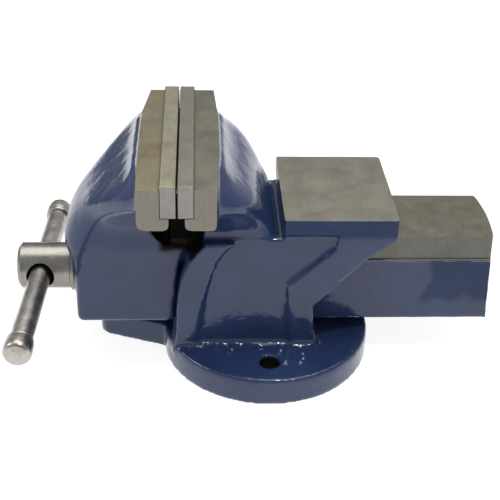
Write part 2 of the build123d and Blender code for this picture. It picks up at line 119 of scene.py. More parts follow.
# Where each run starts across the flange and along it, and how long it is.
PAINT_RUNS = (
    (8 * MM, -49 * MM, 11 * MM),
    (11 * MM, -63 * MM, 9 * MM),
    (-27 * MM, -52 * MM, 9 * MM),
    (22 * MM, -58 * MM, 13 * MM),
    (34 * MM, -46 * MM, 8 * MM),
    (-12 * MM, 74 * MM, 14 * MM),
    (28 * MM, 66 * MM, 10 * MM),
)

rng = np.random.default_rng(7)


# Mesh helpers


def new_object(name, mesh):
    piece = bpy.data.objects.new(name, mesh)
    bpy.context.scene.collection.objects.link(piece)
    return piece


def as_mesh(bm, name):
    """Writes the geometry into a new mesh and lets go of it."""
    mesh = bpy.data.meshes.new(name)
    bm.to_mesh(mesh)
    bm.free()
    return mesh


def box_mesh(low, high):
    """A closed box between two corners."""
    bm = bmesh.new()
    centre = (Vector(low) + Vector(high)) / 2
    size = Vector(high) - Vector(low)
    bmesh.ops.create_cube(bm, size=1, matrix=Matrix.Translation(centre) @ Matrix.Diagonal((*size, 1)))
    return as_mesh(bm, "box")


def evaluated(piece):
    """The piece's mesh with its modifiers applied. The piece itself is removed."""
    graph = bpy.context.evaluated_depsgraph_get()
    mesh = bpy.data.meshes.new_from_object(piece.evaluated_get(graph))
    bpy.data.objects.remove(piece)
    return mesh


def read_points(mesh):
    points = np.empty(len(mesh.vertices) * 3, np.float32)
    mesh.vertices.foreach_get("co", points)
    return points.reshape(-1, 3).astype(float)


def read_normals(mesh):
    return np.array([v.normal for v in mesh.vertices])


def write_points(mesh, points):
    mesh.vertices.foreach_set("co", points.astype(np.float32).ravel())
    mesh.update()


def ramp(values, start, end):
    """0 before start, 1 past end, and smooth between. It also falls where end is the lower one."""
    share = np.clip((values - start) / (end - start), 0, 1)
    return share * share * (3 - 2 * share)


def band(values, start, full, fade, end):
    """0 before start, 1 from full to fade, and 0 again past end. The limits are in millimetres."""
    return ramp(values, start * MM, full * MM) * ramp(values, end * MM, fade * MM)


def waves(points, length):
    """A smooth random value at each point, the same on every run, in waves of about this length."""
    return np.array([noise.noise(Vector(p / length)) for p in points])


def voxel_skin(mesh, size):
    """One closed even skin around everything in the mesh."""
    piece = new_object("raw", mesh)
    remesh = piece.modifiers.new("remesh", "REMESH")
    remesh.mode = "VOXEL"
    remesh.voxel_size = size
    return evaluated(piece)


def round_skin(mesh, passes, weight):
    """Rounds a cast skin by moving each point towards the mean of its neighbours."""
    points = read_points(mesh)
    edges = np.empty(len(mesh.edges) * 2, np.int32)
    mesh.edges.foreach_get("vertices", edges)
    a, b = edges.reshape(-1, 2).T
    count = np.bincount(a, minlength=len(points)) + np.bincount(b, minlength=len(points))
    share = 0.5 * weight(points)[:, None]
    for _ in range(passes):
        total = np.zeros_like(points)
        for axis in range(3):
            total[:, axis] += np.bincount(a, points[b, axis], len(points))
            total[:, axis] += np.bincount(b, points[a, axis], len(points))
        points += share * (total / count[:, None] - points)
    write_points(mesh, points)


def ripple_skin(mesh, fitted):
    """Gives a cast skin the unevenness of a sand mould, which only goes inwards on fitted surfaces."""
    points = read_points(mesh)
    normals = read_normals(mesh)
    wave = waves(points, RIPPLE_LENGTH)
    share = fitted(points)
    wave = wave * (1 - share) - (np.abs(wave) + FITTED_RELIEF) * share
    points += normals * (wave * RIPPLE_DEPTH)[:, None]
    points[:, 2] = np.maximum(points[:, 2], CAD_LOW.z)
    write_points(mesh, points)


def run_height(points, start_x, start_y, length):
    """How high one beaded, swaying run of enamel stands at each point."""
    x, y, _ = points.T
    along = (start_y - y) / length
    middle = start_x + RUN_SWAY * np.sin(along * RUN_BENDS)
    ridge = np.exp(-(((x - middle) / RUN_WIDTH) ** 2)) * ((along > 0) & (along < 1))
    return RUN_HEIGHT * ridge * (1 + BEAD_SHARE * np.sin(2 * math.pi * along * length / BEAD_LENGTH))


def paint_runs(mesh):
    """Thick enamel on the flange: lumps, most of all at the foot of the walls, and a few runs."""
    points = read_points(mesh)
    _, y, z = points.T
    on_top = ramp(np.abs(z - FLANGE_TOP), 7 * MM, 1 * MM) * ramp(np.abs(y), 38 * MM, 44 * MM)
    lift = LUMP_HEIGHT * waves(points, LUMP_SIZE) * (LUMPS_EVERYWHERE + ramp(np.abs(y), 62 * MM, 50 * MM))
    for run in PAINT_RUNS:
        lift += run_height(points, *run)
    points[:, 2] += on_top * lift
    write_points(mesh, points)


def subtract(mesh, other):
    """Takes one closed mesh out of another, which leaves crisp edges."""
    tool = new_object("tool", other)
    piece = new_object("part", mesh)
    cut = piece.modifiers.new("cut", "BOOLEAN")
    cut.operation = "DIFFERENCE"
    cut.solver = "EXACT"
    cut.object = tool
    result = evaluated(piece)
    bpy.data.objects.remove(tool)
    return result


def score(mesh, places):
    """Adds lines of points across the mesh at some places along X, so that tones can change there."""
    bm = bmesh.new()
    bm.from_mesh(mesh)
    for x in places:
        geometry = bm.verts[:] + bm.edges[:] + bm.faces[:]
        bmesh.ops.bisect_plane(bm, geom=geometry, plane_co=(x, 0, 0), plane_no=(1, 0, 0))
    bm.to_mesh(mesh)
    bm.free()


def shade(mesh):
    mesh.polygons.foreach_set("use_smooth", [True] * len(mesh.polygons))
    mesh.set_sharp_from_angle(angle=SHARP_ANGLE)


def paint_by_face(mesh, planes):
    """Gives the faces that lie in a plane its material. A plane is a slot, axis, place and two corners."""
    normals = np.array([p.normal for p in mesh.polygons])
    centres = np.array([p.center for p in mesh.polygons])
    slots = np.zeros(len(centres), np.int32)
    for slot, axis, place, low, high in planes:
        flat = (np.abs(normals[:, axis]) > 0.999) & (np.abs(centres[:, axis] - place) < TOUCH)
        inside = np.all((centres >= np.array(low) - TOUCH) & (centres <= np.array(high) + TOUCH), axis=1)
        slots[flat & inside] = slot
    mesh.polygons.foreach_set("material_index", slots)


def painted_edge_highlight(mesh, slot, low, high):
    """Paints a highlight along an enamel edge: the faces of a thin band below it get the given slot, more in some
    places than in others.
    """
    for face in mesh.polygons:
        x, _, z = face.center
        band_low = high - HIGHLIGHT_BAND_DEPTH * (0.5 + noise.noise(face.center / HIGHLIGHT_BAND_WAVE))
        if band_low < z < high and x > low and abs(face.normal.y) > 0.9 and face.material_index == 0:
            face.material_index = slot


def write_tones(mesh, tones):
    """Stores how much painted shade and how dull each point is, for the materials to read."""
    points = read_points(mesh)
    normals = read_normals(mesh)
    for name, rule in tones.items():
        made = mesh.attributes.new(name, "FLOAT", "POINT")
        made.data.foreach_set("value", rule(points, normals).astype(np.float32))


def cast_skin(node, add_stock, weight, neck, fitted):
    """The CAD node with spare metal on its worked faces, given one even skin, rounded and a little uneven."""
    raw = frame["nodes"][node].data.copy()
    points = read_points(raw)
    add_stock(points)
    write_points(raw, points)
    mesh = voxel_skin(raw, VOXEL)
    round_skin(mesh, NECK_PASSES, neck)
    round_skin(mesh, ROUNDING_PASSES, weight)
    ripple_skin(mesh, fitted)
    return mesh


def machined(name, mesh, cuts, planes, tones, metals):
    """Machines a cast skin back to its worked faces, and gives every face its material."""
    for low, high in cuts:
        mesh = subtract(mesh, box_mesh(low, high))
    score(mesh, PAINTED_SHADE_EDGES)
    mesh.name = name
    mesh.materials.clear()
    for material in ("blue_enamel", *metals):
        mesh.materials.append(MATERIALS[material])
    paint_by_face(mesh, planes)
    write_tones(mesh, tones)
    shade(mesh)
    return new_object(name, mesh)


# Castings

X, Y, Z = range(3)
# The material slots of a casting's faces. Slot 0 is the enamel.
TOP_SLOT = 1
END_SLOT = 2
WORKED_SLOT = 3
STRIP_SLOT = 4
LEDGE_SLOT = 5
# Along X, the places where the painted shade begins or ends on the large flat faces.
PAINTED_SHADE_EDGES = (-62 * MM, -46 * MM, -42 * MM)
# The painted shade in the throat between the necks: the limits of its bands, as start, full, fade and end in
# millimetres.
THROAT_LENGTH = (-88, -82, -46, -42)
THROAT_HEIGHT = (84, 88, 126.2, 127)
UNDER_LENGTH = (-76, -72, -46, -42)
UNDER_HEIGHT = (50, 70, 126, 127)
SIDE_LENGTH = (-76, -71, -52, -46)
# Where each neck is rounded most, and where the enamel is dull, in the same form.
FIXED_NECK_LENGTH = (-38, -30, -2, 4)
FIXED_NECK_HEIGHT = (108, 120, 144, 152)
MOVING_NECK_HEIGHT = (66, 80, 140, 150)
ANVIL_SIDE_HEIGHT = (101, 105, 117, 120)
ARCH_HEIGHT = (82, 94, 110, 118)
REAR_DULLNESS = 0.85
ARCH_DULLNESS = 0.4
PATCH_SIZE = 14 * MM
# How much less the slide bar is rounded than the front casting.
SLIDE_CRISPNESS = 0.6
# The painted shade fades out between these two distances.
THROAT_HALF = (56 * MM, 50 * MM)
UNDER_HALF = (31 * MM, 30 * MM)
SIDE_HALF = (37 * MM, 35 * MM)
HOLE_HALF = (8.2 * MM, 7 * MM)
HOLE_HEIGHT = (FLANGE_TOP, FLANGE_TOP - 3 * MM)


def head_stock(points, seat_x, lip_x):
    """Spare metal on a jaw head's top, ends and plate seat."""
    high = points[:, 2] > HEAD_LOW
    seat = high & (np.abs(points[:, 0] - seat_x) < TOUCH) & (points[:, 2] > SEAT_Z - TOUCH)
    points[seat, 0] = lip_x
    top = points[:, 2] > JAW_TOP - TOUCH
    points[top, 2] += STOCK
    ends = high & (np.abs(points[:, 1]) > JAW_HALF - TOUCH)
    points[ends, 1] += np.sign(points[ends, 1]) * STOCK


def head_cuts(seat_x, way):
    """The cuts that finish a jaw head: its plate seat, its top and its two ends."""
    far = 40 * MM
    wide = JAW_HALF + 2 * STOCK
    tall = JAW_TOP + 2 * STOCK
    seat = sorted((seat_x, seat_x - way * far))
    reach = sorted((seat_x - way * far, seat_x + way * 2 * far))
    cuts = [((seat[0], -wide, SEAT_Z), (seat[1], wide, tall))]
    cuts.append(((reach[0], -wide, JAW_TOP), (reach[1], wide, tall)))
    for side in (-1, 1):
        y = sorted((side * JAW_HALF, side * wide))
        cuts.append(((reach[0], y[0], HEAD_LOW), (reach[1], y[1], tall)))
    return cuts


def head_planes(seat_x):
    """Where a jaw head is bare: its top, its ends and its plate seat."""
    low = (-0.2, -1, HEAD_LOW)
    high = (0, 1, 1)
    planes = [(TOP_SLOT, Z, JAW_TOP, low, high)]
    planes += [(END_SLOT, X, seat_x, low, high), (END_SLOT, Z, SEAT_Z, low, high)]
    return planes + [(END_SLOT, Y, side * JAW_HALF, low, high) for side in (-1, 1)]


def throat_painted_shade(points, normals, way):
    """Painted shade on what faces the throat between the two necks and on what lies under it. way is where this
    jaw's throat side faces.
    """
    x, y, z = points.T
    facing = ramp(np.maximum(way * normals[:, 0], normals[:, 2]), 0.2, 0.6)
    throat = facing * band(x, *THROAT_LENGTH) * band(z, *THROAT_HEIGHT) * ramp(np.abs(y), *THROAT_HALF)
    under = band(x, *UNDER_LENGTH) * band(z, *UNDER_HEIGHT) * ramp(np.abs(y), *UNDER_HALF)
    return np.maximum(throat, under)


def fixed_painted_shade(points, normals):
    """Painted shade in the throat and inside the bolt holes."""
    x, y, z = points.T
    holes = ramp(np.hypot(x, np.abs(y) - BOLT_HOLE_OUT), *HOLE_HALF) * ramp(z, *HOLE_HEIGHT)
    return np.maximum(throat_painted_shade(points, normals, -1), holes)


def moving_painted_shade(points, normals):
    """Painted shade in the throat and on the top of the slide bar's sides below it."""
    x, y, z = points.T
    side = ramp(np.abs(normals[:, 1]), 0.4, 0.7) * ramp(np.abs(y), *SIDE_HALF)
    side *= ramp(z, 84 * MM, 88 * MM) * band(x, *SIDE_LENGTH)
    return np.maximum(throat_painted_shade(points, normals, 1), side)


def fixed_stock(points):
    seat_x = FIXED_PLATE[1].x
    head_stock(points, seat_x, seat_x - SEAT_DEPTH)
    level = points[:, 2] > ANVIL_TOP - ANVIL_CHAMFER - TOUCH
    top = level & (points[:, 2] < ANVIL_TOP + TOUCH) & (points[:, 0] > ANVIL_FRONT)
    points[top, 2] += STOCK


def everywhere(points):
    return np.ones(len(points))


def fixed_neck(points):
    """Where the fixed neck flows into the jaw head."""
    x, _, z = points.T
    return band(x, *FIXED_NECK_LENGTH) * band(z, *FIXED_NECK_HEIGHT)


def fixed_fitted(points):
    """The walls beside the slide bar."""
    return ramp(np.abs(points[:, 1]), 34 * MM, 32 * MM) * ramp(points[:, 2], 102 * MM, 98 * MM)


def fixed_dullness(points, normals):
    """The sides of the anvil."""
    x, _, z = points.T
    return band(z, *ANVIL_SIDE_HEIGHT) * ramp(x, -12 * MM, 0)


def fixed_casting():
    mesh = cast_skin("fixed_jaw_body", fixed_stock, everywhere, fixed_neck, fixed_fitted)
    paint_runs(mesh)
    seat_x = FIXED_PLATE[1].x
    low = (ANVIL_FRONT - STOCK, -ANVIL_HALF, ANVIL_TOP)
    cuts = head_cuts(seat_x, 1) + [(low, (ANVIL_BACK, ANVIL_HALF, ANVIL_TOP + 2 * STOCK))]
    planes = head_planes(seat_x) + [(WORKED_SLOT, Z, ANVIL_TOP, (0, -1, 0), (1, 1, 1))]
    tones = {"painted_shade": fixed_painted_shade, "dull": fixed_dullness}
    return machined("fixed_jaw_casting", mesh, cuts, planes, tones, ("grey_iron", "end_iron", "anvil_iron"))


def moving_stock(points):
    seat_x = MOVING_PLATE[0].x
    head_stock(points, seat_x, seat_x + SEAT_DEPTH)
    on_slide = points[:, 0] > NECK_BACK - 3 * MM
    top = on_slide & (np.abs(points[:, 2] - SLIDE_TOP) < TOUCH)
    sides = on_slide & (np.abs(np.abs(points[:, 1]) - SLIDE_MACHINED_HALF) < TOUCH)
    points[top, 2] += STOCK
    points[sides, 1] += np.sign(points[sides, 1]) * SIDE_STOCK


def moving_weight(points):
    """The slide bar is rounded less than the front casting."""
    return 1 - SLIDE_CRISPNESS * ramp(points[:, 0], FLANK_BACK - 14 * MM, FLANK_BACK - 8 * MM)


def moving_neck(points):
    """Where the front casting flares into its neck."""
    x, _, z = points.T
    return band(z, *MOVING_NECK_HEIGHT) * ramp(x, -84 * MM, -92 * MM)


def moving_fitted(points):
    """The slide bar, which runs between the fixed walls."""
    return ramp(points[:, 0], -70 * MM, -64 * MM)


def moving_dullness(points, normals):
    """A worn patch at the rear of the slide bar, and the arch over it at the front."""
    x, _, z = points.T
    edge = waves(points, PATCH_SIZE)
    rear = ramp(x + edge * 10 * MM, 105 * MM, 112 * MM) * ramp(z + edge * 8 * MM, 38 * MM, 48 * MM)
    arch = ramp(x, -70 * MM, -80 * MM) * band(z, *ARCH_HEIGHT)
    return np.maximum(REAR_DULLNESS * rear, ARCH_DULLNESS * arch)


def slide_cuts():
    """The cuts that finish the slide bar's top and the strips along its sides."""
    end_x = MOVING_BOX[1].x + STOCK
    wide = 40 * MM
    cuts = [((NECK_BACK, -wide, SLIDE_TOP), (end_x, wide, SLIDE_TOP + 2 * STOCK))]
    for side in (-1, 1):
        y = sorted((side * SLIDE_MACHINED_HALF, side * wide))
        cuts.append(((FLANK_BACK, y[0], SLIDE_STRIP), (end_x, y[1], SLIDE_TOP + STOCK)))
    return cuts


def slide_planes():
    """Where the slide bar is bare."""
    low = (NECK_BACK, -1, 0)
    high = (1, 1, 1)
    planes = [(WORKED_SLOT, Z, SLIDE_TOP, low, high), (LEDGE_SLOT, Z, SLIDE_STRIP, low, high)]
    return planes + [(STRIP_SLOT, Y, side * SLIDE_MACHINED_HALF, low, high) for side in (-1, 1)]


def moving_casting():
    mesh = cast_skin("moving_jaw_body", moving_stock, moving_weight, moving_neck, moving_fitted)
    seat_x = MOVING_PLATE[0].x
    cuts = head_cuts(seat_x, -1) + slide_cuts()
    planes = head_planes(seat_x) + slide_planes()
    tones = {"painted_shade": moving_painted_shade, "dull": moving_dullness}
    metals = ("tan_iron", "end_iron", "slide_iron", "strip_iron", "ledge_painted_highlight")
    piece = machined("moving_jaw_casting", mesh, cuts, planes, tones, metals)
    # A painted highlight under each strip's lower edge, in the strip's metal.
    painted_edge_highlight(piece.data, STRIP_SLOT, FLANK_BACK, SLIDE_STRIP)
    return piece


# Jaw plates

TOOTH_PITCH = 1.6 * MM
TOOTH_DEPTH = 0.3 * MM
TOOTH_LEAN = 0.12
TOOTH_WEAR = 0.12
TOOTH_SINK = 0.02 * MM
SCREW_MOUTH = 8.4 * MM
PLATE_BEVEL = 0.6 * MM
PLATE_MARGIN = 1.0 * MM
LONG_EDGE = 20 * MM


def bevelled_plate(node, face_x, way, high_y):
    """The CAD plate set back by the depth of its teeth, with its long and end edges bevelled."""
    mesh = frame["nodes"][node].data.copy()
    points = read_points(mesh)
    grip = np.abs(points[:, 0] - face_x) < TOUCH
    points[grip, 0] += way * TOOTH_DEPTH
    write_points(mesh, points)
    bm = bmesh.new()
    bm.from_mesh(mesh)
    bmesh.ops.dissolve_limit(bm, angle_limit=math.radians(1), verts=bm.verts, edges=bm.edges)
    corners = [e for e in bm.edges if e.calc_length() > LONG_EDGE or abs(e.verts[0].co.y) > high_y - TOUCH]
    bmesh.ops.bevel(bm, geom=corners, offset=PLATE_BEVEL, segments=2, profile=0.5, affect="EDGES")
    return mesh, bm


def tooth(bm, y, z, face_x, way):
    """One small pyramid, its tip a little off centre and a little worn."""
    half = TOOTH_PITCH / 2
    base_x = face_x + way * (TOOTH_DEPTH + TOOTH_SINK)
    corners = [(y - half, z - half), (y + half, z - half), (y + half, z + half), (y - half, z + half)]
    base = [bm.verts.new((base_x, cy, cz)) for cy, cz in corners]
    lean = rng.uniform(-TOOTH_LEAN, TOOTH_LEAN, 2) * TOOTH_PITCH
    worn = rng.uniform(0, TOOTH_WEAR) * TOOTH_DEPTH
    tip = bm.verts.new((face_x + way * worn, y + lean[0], z + lean[1]))
    for k in range(4):
        bm.faces.new((base[k], base[(k + 1) % 4], tip))
    bm.faces.new(base)


def tooth_places(low, high, screws):
    """The middles of the teeth, in columns and rows that leave the screws free."""
    columns = int((high.y - low.y - 2 * PLATE_MARGIN) / TOOTH_PITCH)
    rows = int((high.z - low.z - 2 * PLATE_MARGIN) / TOOTH_PITCH)
    for i in range(columns):
        for j in range(rows):
            y = (low.y + high.y) / 2 + (i - (columns - 1) / 2) * TOOTH_PITCH
            z = (low.z + high.z) / 2 + (j - (rows - 1) / 2) * TOOTH_PITCH
            if min(math.hypot(y - sy, z - sz) for sy, sz in screws) >= SCREW_MOUTH + TOOTH_PITCH / 2:
                yield y, z


def serrated_plate(name, node, face_x, way, metals):
    """A jaw plate whose gripping face is cut into rows of small pyramids. way points into the plate."""
    low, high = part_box(node)
    mesh, bm = bevelled_plate(node, face_x, way, high.y)
    for y, z in tooth_places(low, high, screw_places()):
        tooth(bm, y, z, face_x, way)
    bmesh.ops.recalc_face_normals(bm, faces=bm.faces)
    bm.to_mesh(mesh)
    bm.free()
    shade(mesh)
    mesh.materials.clear()
    for material in metals:
        mesh.materials.append(MATERIALS[material])
    ends = [int(abs(p.normal.y) > 0.99) for p in mesh.polygons]
    mesh.polygons.foreach_set("material_index", ends)
    back_x = low.x + high.x - face_x
    # Painted shade on the back face, where the plate sits against its seat.
    write_tones(mesh, {"painted_shade": lambda points, normals: 0.9 * (np.abs(points[:, 0] - back_x) < 2 * TOUCH)})
    return new_object(name, mesh)


# Spindle

THREAD_PITCH = 5 * MM
THREAD_CREST = 11 * MM
THREAD_ROOT = 8.6 * MM
THREAD_START = -88 * MM
THREAD_STEPS = 64
HEAD_LENGTH = 36 * MM
HEAD_CHAMFER = 2 * MM
HEAD_BACK_CHAMFER = 0.6 * MM
HEAD_RINGS = 28
SHANK_RADIUS = 12 * MM
BORE_RADIUS = 8.2 * MM
MOUTH_RADIUS = 9.5 * MM
MOUTH_DEEP = 10 * MM
MOUTH_OUT = 20 * MM
# One pitch of the thread: share of the pitch, and share of its depth.
THREAD_PROFILE = ((0.0, 0.0), (0.37, 0.0), (0.5, 1.0), (0.87, 1.0))


def thread_mesh(start, end):
    """A right-hand trapezoidal thread along X, fading out at both ends, on its own closed skin."""
    turns = round((end - start) / THREAD_PITCH) - 1
    steps = turns * THREAD_STEPS
    bm = bmesh.new()
    grid = []
    for i in range(steps + 1):
        angle = -2 * math.pi * i / THREAD_STEPS
        fade = min(1.0, i / THREAD_STEPS, (steps - i) / (0.5 * THREAD_STEPS))
        row = []
        for along, depth in THREAD_PROFILE:
            x = start + THREAD_PITCH * (i / THREAD_STEPS + along)
            radius = THREAD_ROOT + (THREAD_CREST - THREAD_ROOT) * depth * fade
            row.append(bm.verts.new((x, radius * math.sin(angle), SPINDLE_Z + radius * math.cos(angle))))
        grid.append(row)
    for i in range(steps):
        last = grid[i + THREAD_STEPS][0:1] if i + THREAD_STEPS <= steps else []
        after = grid[i + 1 + THREAD_STEPS][0:1] if i + 1 + THREAD_STEPS <= steps else []
        row = grid[i] + last
        following = grid[i + 1] + after
        for k in range(min(len(row), len(following)) - 1):
            bm.faces.new((row[k], row[k + 1], following[k + 1], following[k]))
    bmesh.ops.holes_fill(bm, edges=[e for e in bm.edges if e.is_boundary], sides=0)
    bmesh.ops.recalc_face_normals(bm, faces=bm.faces)
    return bm


def lathe(bm, profile, origin, way, segments):
    """Turns a profile of (distance along the axis, radius) into a closed round solid."""
    side = way.cross(Vector((0, 0, 1))).normalized()
    other = way.cross(side)
    rings = []
    for along, radius in profile:
        centre = origin + way * along
        if radius == 0:
            rings.append([bm.verts.new(centre)])
            continue
        turns = [2 * math.pi * k / segments for k in range(segments)]
        spots = [centre + radius * (math.cos(t) * side + math.sin(t) * other) for t in turns]
        rings.append([bm.verts.new(spot) for spot in spots])
    for ring, following in zip(rings, rings[1:]):
        for k in range(segments):
            n = (k + 1) % segments
            corners = [ring[k % len(ring)], ring[n % len(ring)]]
            corners += [following[n % len(following)], following[k % len(following)]]
            bm.faces.new(list(dict.fromkeys(corners)))


def cross_hole(centre):
    """The hole for the bar with its widened mouths, as one plug."""
    wide = MOUTH_RADIUS
    half = ((-MOUTH_OUT, 0), (-MOUTH_OUT, wide), (-MOUTH_DEEP, wide), (-MOUTH_DEEP, BORE_RADIUS))
    bm = bmesh.new()
    lathe(bm, half + tuple((-along, radius) for along, radius in reversed(half)), centre, BAR_WAY, 64)
    bmesh.ops.recalc_face_normals(bm, faces=bm.faces)
    return as_mesh(bm, "cross_hole")


def spindle_head(low_x):
    """The turned head and plain shank, drilled for the bar."""
    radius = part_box("spindle")[1].z - SPINDLE_Z
    back_x = low_x + HEAD_LENGTH
    rings = np.linspace(low_x + HEAD_CHAMFER, back_x - HEAD_BACK_CHAMFER, HEAD_RINGS)
    profile = [(low_x, 0), (low_x, radius - HEAD_CHAMFER)]
    profile += [(x, radius) for x in rings]
    profile += [(back_x, radius - HEAD_BACK_CHAMFER), (back_x, SHANK_RADIUS)]
    profile += [(THREAD_START, SHANK_RADIUS), (THREAD_START, 0)]
    bm = bmesh.new()
    lathe(bm, profile, Vector((0, 0, SPINDLE_Z)), Vector((1, 0, 0)), 112)
    bmesh.ops.recalc_face_normals(bm, faces=bm.faces)
    centre = Vector(JOINTS["spindle_turn"]["pos_m"])
    return subtract(as_mesh(bm, "head"), cross_hole(centre)), centre


def bore_faces(mesh, centre):
    """1 for each face inside the cross hole and 0 elsewhere."""
    centres = np.array([p.center for p in mesh.polygons]) - np.array(centre)
    across = centres - np.outer(centres @ np.array(BAR_WAY), np.array(BAR_WAY))
    return (np.linalg.norm(across, axis=1) < MOUTH_RADIUS + TOUCH).astype(np.int32)


def spindle():
    """The drilled head and plain shank, with a cut thread behind them."""
    low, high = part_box("spindle")
    head, centre = spindle_head(low.x)
    length = high.x - THREAD_START + 2 * MM
    root = THREAD_ROOT - 0.1 * MM
    core = ((0, 0), (0, root), (length - 2.5 * MM, root), (length, root - 2.5 * MM), (length, 0))
    bm = thread_mesh(THREAD_START - THREAD_PITCH / 2, high.x - 1 * MM)
    lathe(bm, core, Vector((THREAD_START - 2 * MM, 0, SPINDLE_Z)), Vector((1, 0, 0)), 48)
    bmesh.ops.recalc_face_normals(bm, faces=bm.faces)
    bm.from_mesh(head)
    mesh = as_mesh(bm, "threaded_spindle")
    cover(mesh, "turned_steel")
    # The faces inside the cross hole get the near-black painted shade.
    mesh.materials.append(MATERIALS["bore_painted_shade"])
    mesh.polygons.foreach_set("material_index", bore_faces(mesh, centre))
    shade(mesh)
    return new_object("threaded_spindle", mesh)


# Tommy bar knobs

KNOB_HALF = 7.5 * MM
# Distance from the knob's inner end, and radius, in millimetres.
KNOB_PROFILE_MM = (
    (0.0, 0.0),
    (0.0, 7.9),
    (0.5, 8.5),
    (1.3, 8.75),
    (2.0, 8.55),
    (2.7, 8.7),
    (4.5, 9.1),
    (8.0, 9.2),
    (11.0, 9.15),
    (13.0, 8.8),
    (14.2, 8.0),
    (14.8, 7.0),
    (14.9, 5.5),
    (14.9, 0.0),
)


def knob(name, node, way):
    """A forged knob on the bar's end: a small collar at the bar, a slight barrel and a flat end."""
    low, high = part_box(node)
    start = (low + high) / 2 - way * KNOB_HALF
    bm = bmesh.new()
    lathe(bm, [(along * MM, radius * MM) for along, radius in KNOB_PROFILE_MM], start, way, 56)
    bmesh.ops.recalc_face_normals(bm, faces=bm.faces)
    mesh = as_mesh(bm, name)
    cover(mesh, "handle_steel")
    shade(mesh)
    return new_object(name, mesh)


# Materials


def make(tree, kind, settings=None, **inputs):
    """A shader node. Each input is a value, or a socket to link; an underscore stands for a space."""
    made = tree.nodes.new(kind)
    for name, value in (settings or {}).items():
        setattr(made, name, value)
    for name, value in inputs.items():
        socket = made.inputs[name.replace("_", " ")]
        if isinstance(value, bpy.types.NodeSocket):
            tree.links.new(value, socket)
        else:
            socket.default_value = value
    return made


def shader(name, **values):
    """A material with its values set straight on the surface shader."""
    material = bpy.data.materials.new(name)
    material.use_nodes = True
    tree = material.node_tree
    surface = tree.nodes["Principled BSDF"]
    for key, value in values.items():
        surface.inputs[key.replace("_", " ")].default_value = value
    return material, tree, surface


def place(tree, stretch=(1, 1, 1)):
    """Object coordinates in metres, stretched along the row's axes."""
    spot = make(tree, "ShaderNodeTexCoord")
    return make(tree, "ShaderNodeMapping", Vector=spot.outputs["Object"], Scale=stretch).outputs["Vector"]


def speckle(tree, where, scale, detail=3.0, roughness=0.5):
    made = make(tree, "ShaderNodeTexNoise", Vector=where, Scale=scale, Detail=detail, Roughness=roughness)
    return made.outputs["Fac"]


def blend(tree, share, first, second):
    made = make(tree, "ShaderNodeMix", {"data_type": "RGBA"})
    tree.links.new(share, made.inputs[0])
    for socket, value in ((made.inputs[6], first), (made.inputs[7], second)):
        if isinstance(value, bpy.types.NodeSocket):
            tree.links.new(value, socket)
        else:
            socket.default_value = (*value, 1)
    return made.outputs[2]


def spread(tree, value, low, high, out_low=0.0, out_high=1.0):
    made = make(
        tree, "ShaderNodeMapRange", Value=value, From_Min=low, From_Max=high, To_Min=out_low, To_Max=out_high
    )
    return made.outputs["Result"]


def bumps(tree, surface, layers):
    """Stacked bump layers: height socket, strength, and depth in metres."""
    normal = None
    for height, strength, depth in layers:
        made = make(tree, "ShaderNodeBump", Height=height, Strength=strength, Distance=depth)
        if normal is not None:
            tree.links.new(normal, made.inputs["Normal"])
        normal = made.outputs["Normal"]
    tree.links.new(normal, surface.inputs["Normal"])
    return normal


def told(tree, name):
    """What the mesh says about itself at each point, or 0 where it says nothing."""
    return make(tree, "ShaderNodeAttribute", {"attribute_name": name}).outputs["Fac"]


def scaled(tree, first, second):
    made = tree.nodes.new("ShaderNodeMath")
    made.operation = "MULTIPLY"
    for socket, value in zip(made.inputs, (first, second)):
        if isinstance(value, bpy.types.NodeSocket):
            tree.links.new(value, socket)
        else:
            socket.default_value = value
    return made.outputs["Value"]


DEEP_NAVY = (0.013, 0.026, 0.078)
NAVY = (0.018, 0.035, 0.1)
DUST = (0.04, 0.055, 0.11)
# Near-black colours of painted shade, for the enamel and for the metals.
PAINTED_SHADE_TONE = (0.006, 0.004, 0.003)
IRON_PAINTED_SHADE_TONE = (0.006, 0.005, 0.004)


def enamel():
    """Thick glossy navy enamel over a sand casting."""
    finish = {"Coat_Roughness": 0.12, "Coat_IOR": 1.5, "Specular_IOR_Level": 0.08}
    material, tree, surface = shader("blue_enamel", **finish)
    where = place(tree)
    broad = speckle(tree, where, 38, 4)
    fine = speckle(tree, where, 260, 3)
    # Where the mesh marks painted shade, the enamel turns near black and loses its coat.
    painted_shade = told(tree, "painted_shade")
    unshaded_unstained = spread(tree, painted_shade, 0, 1, 1, 0)
    deep = blend(tree, spread(tree, broad, 0.35, 0.65), DEEP_NAVY, NAVY)
    dusty = blend(tree, spread(tree, fine, 0.62, 0.8, 0, 0.3), deep, DUST)
    tree.links.new(blend(tree, painted_shade, dusty, PAINTED_SHADE_TONE), surface.inputs["Base Color"])
    tree.links.new(spread(tree, fine, 0.3, 0.7, 0.32, 0.5), surface.inputs["Roughness"])
    gloss = scaled(tree, unshaded_unstained, spread(tree, told(tree, "dull"), 0, 1, 1, 0.3))
    tree.links.new(gloss, surface.inputs["Coat Weight"])
    normal = bumps(tree, surface, [(speckle(tree, where, 85, 2), 0.6, 0.0008), (fine, 0.3, 0.00025)])
    tree.links.new(normal, surface.inputs["Coat Normal"])
    return material


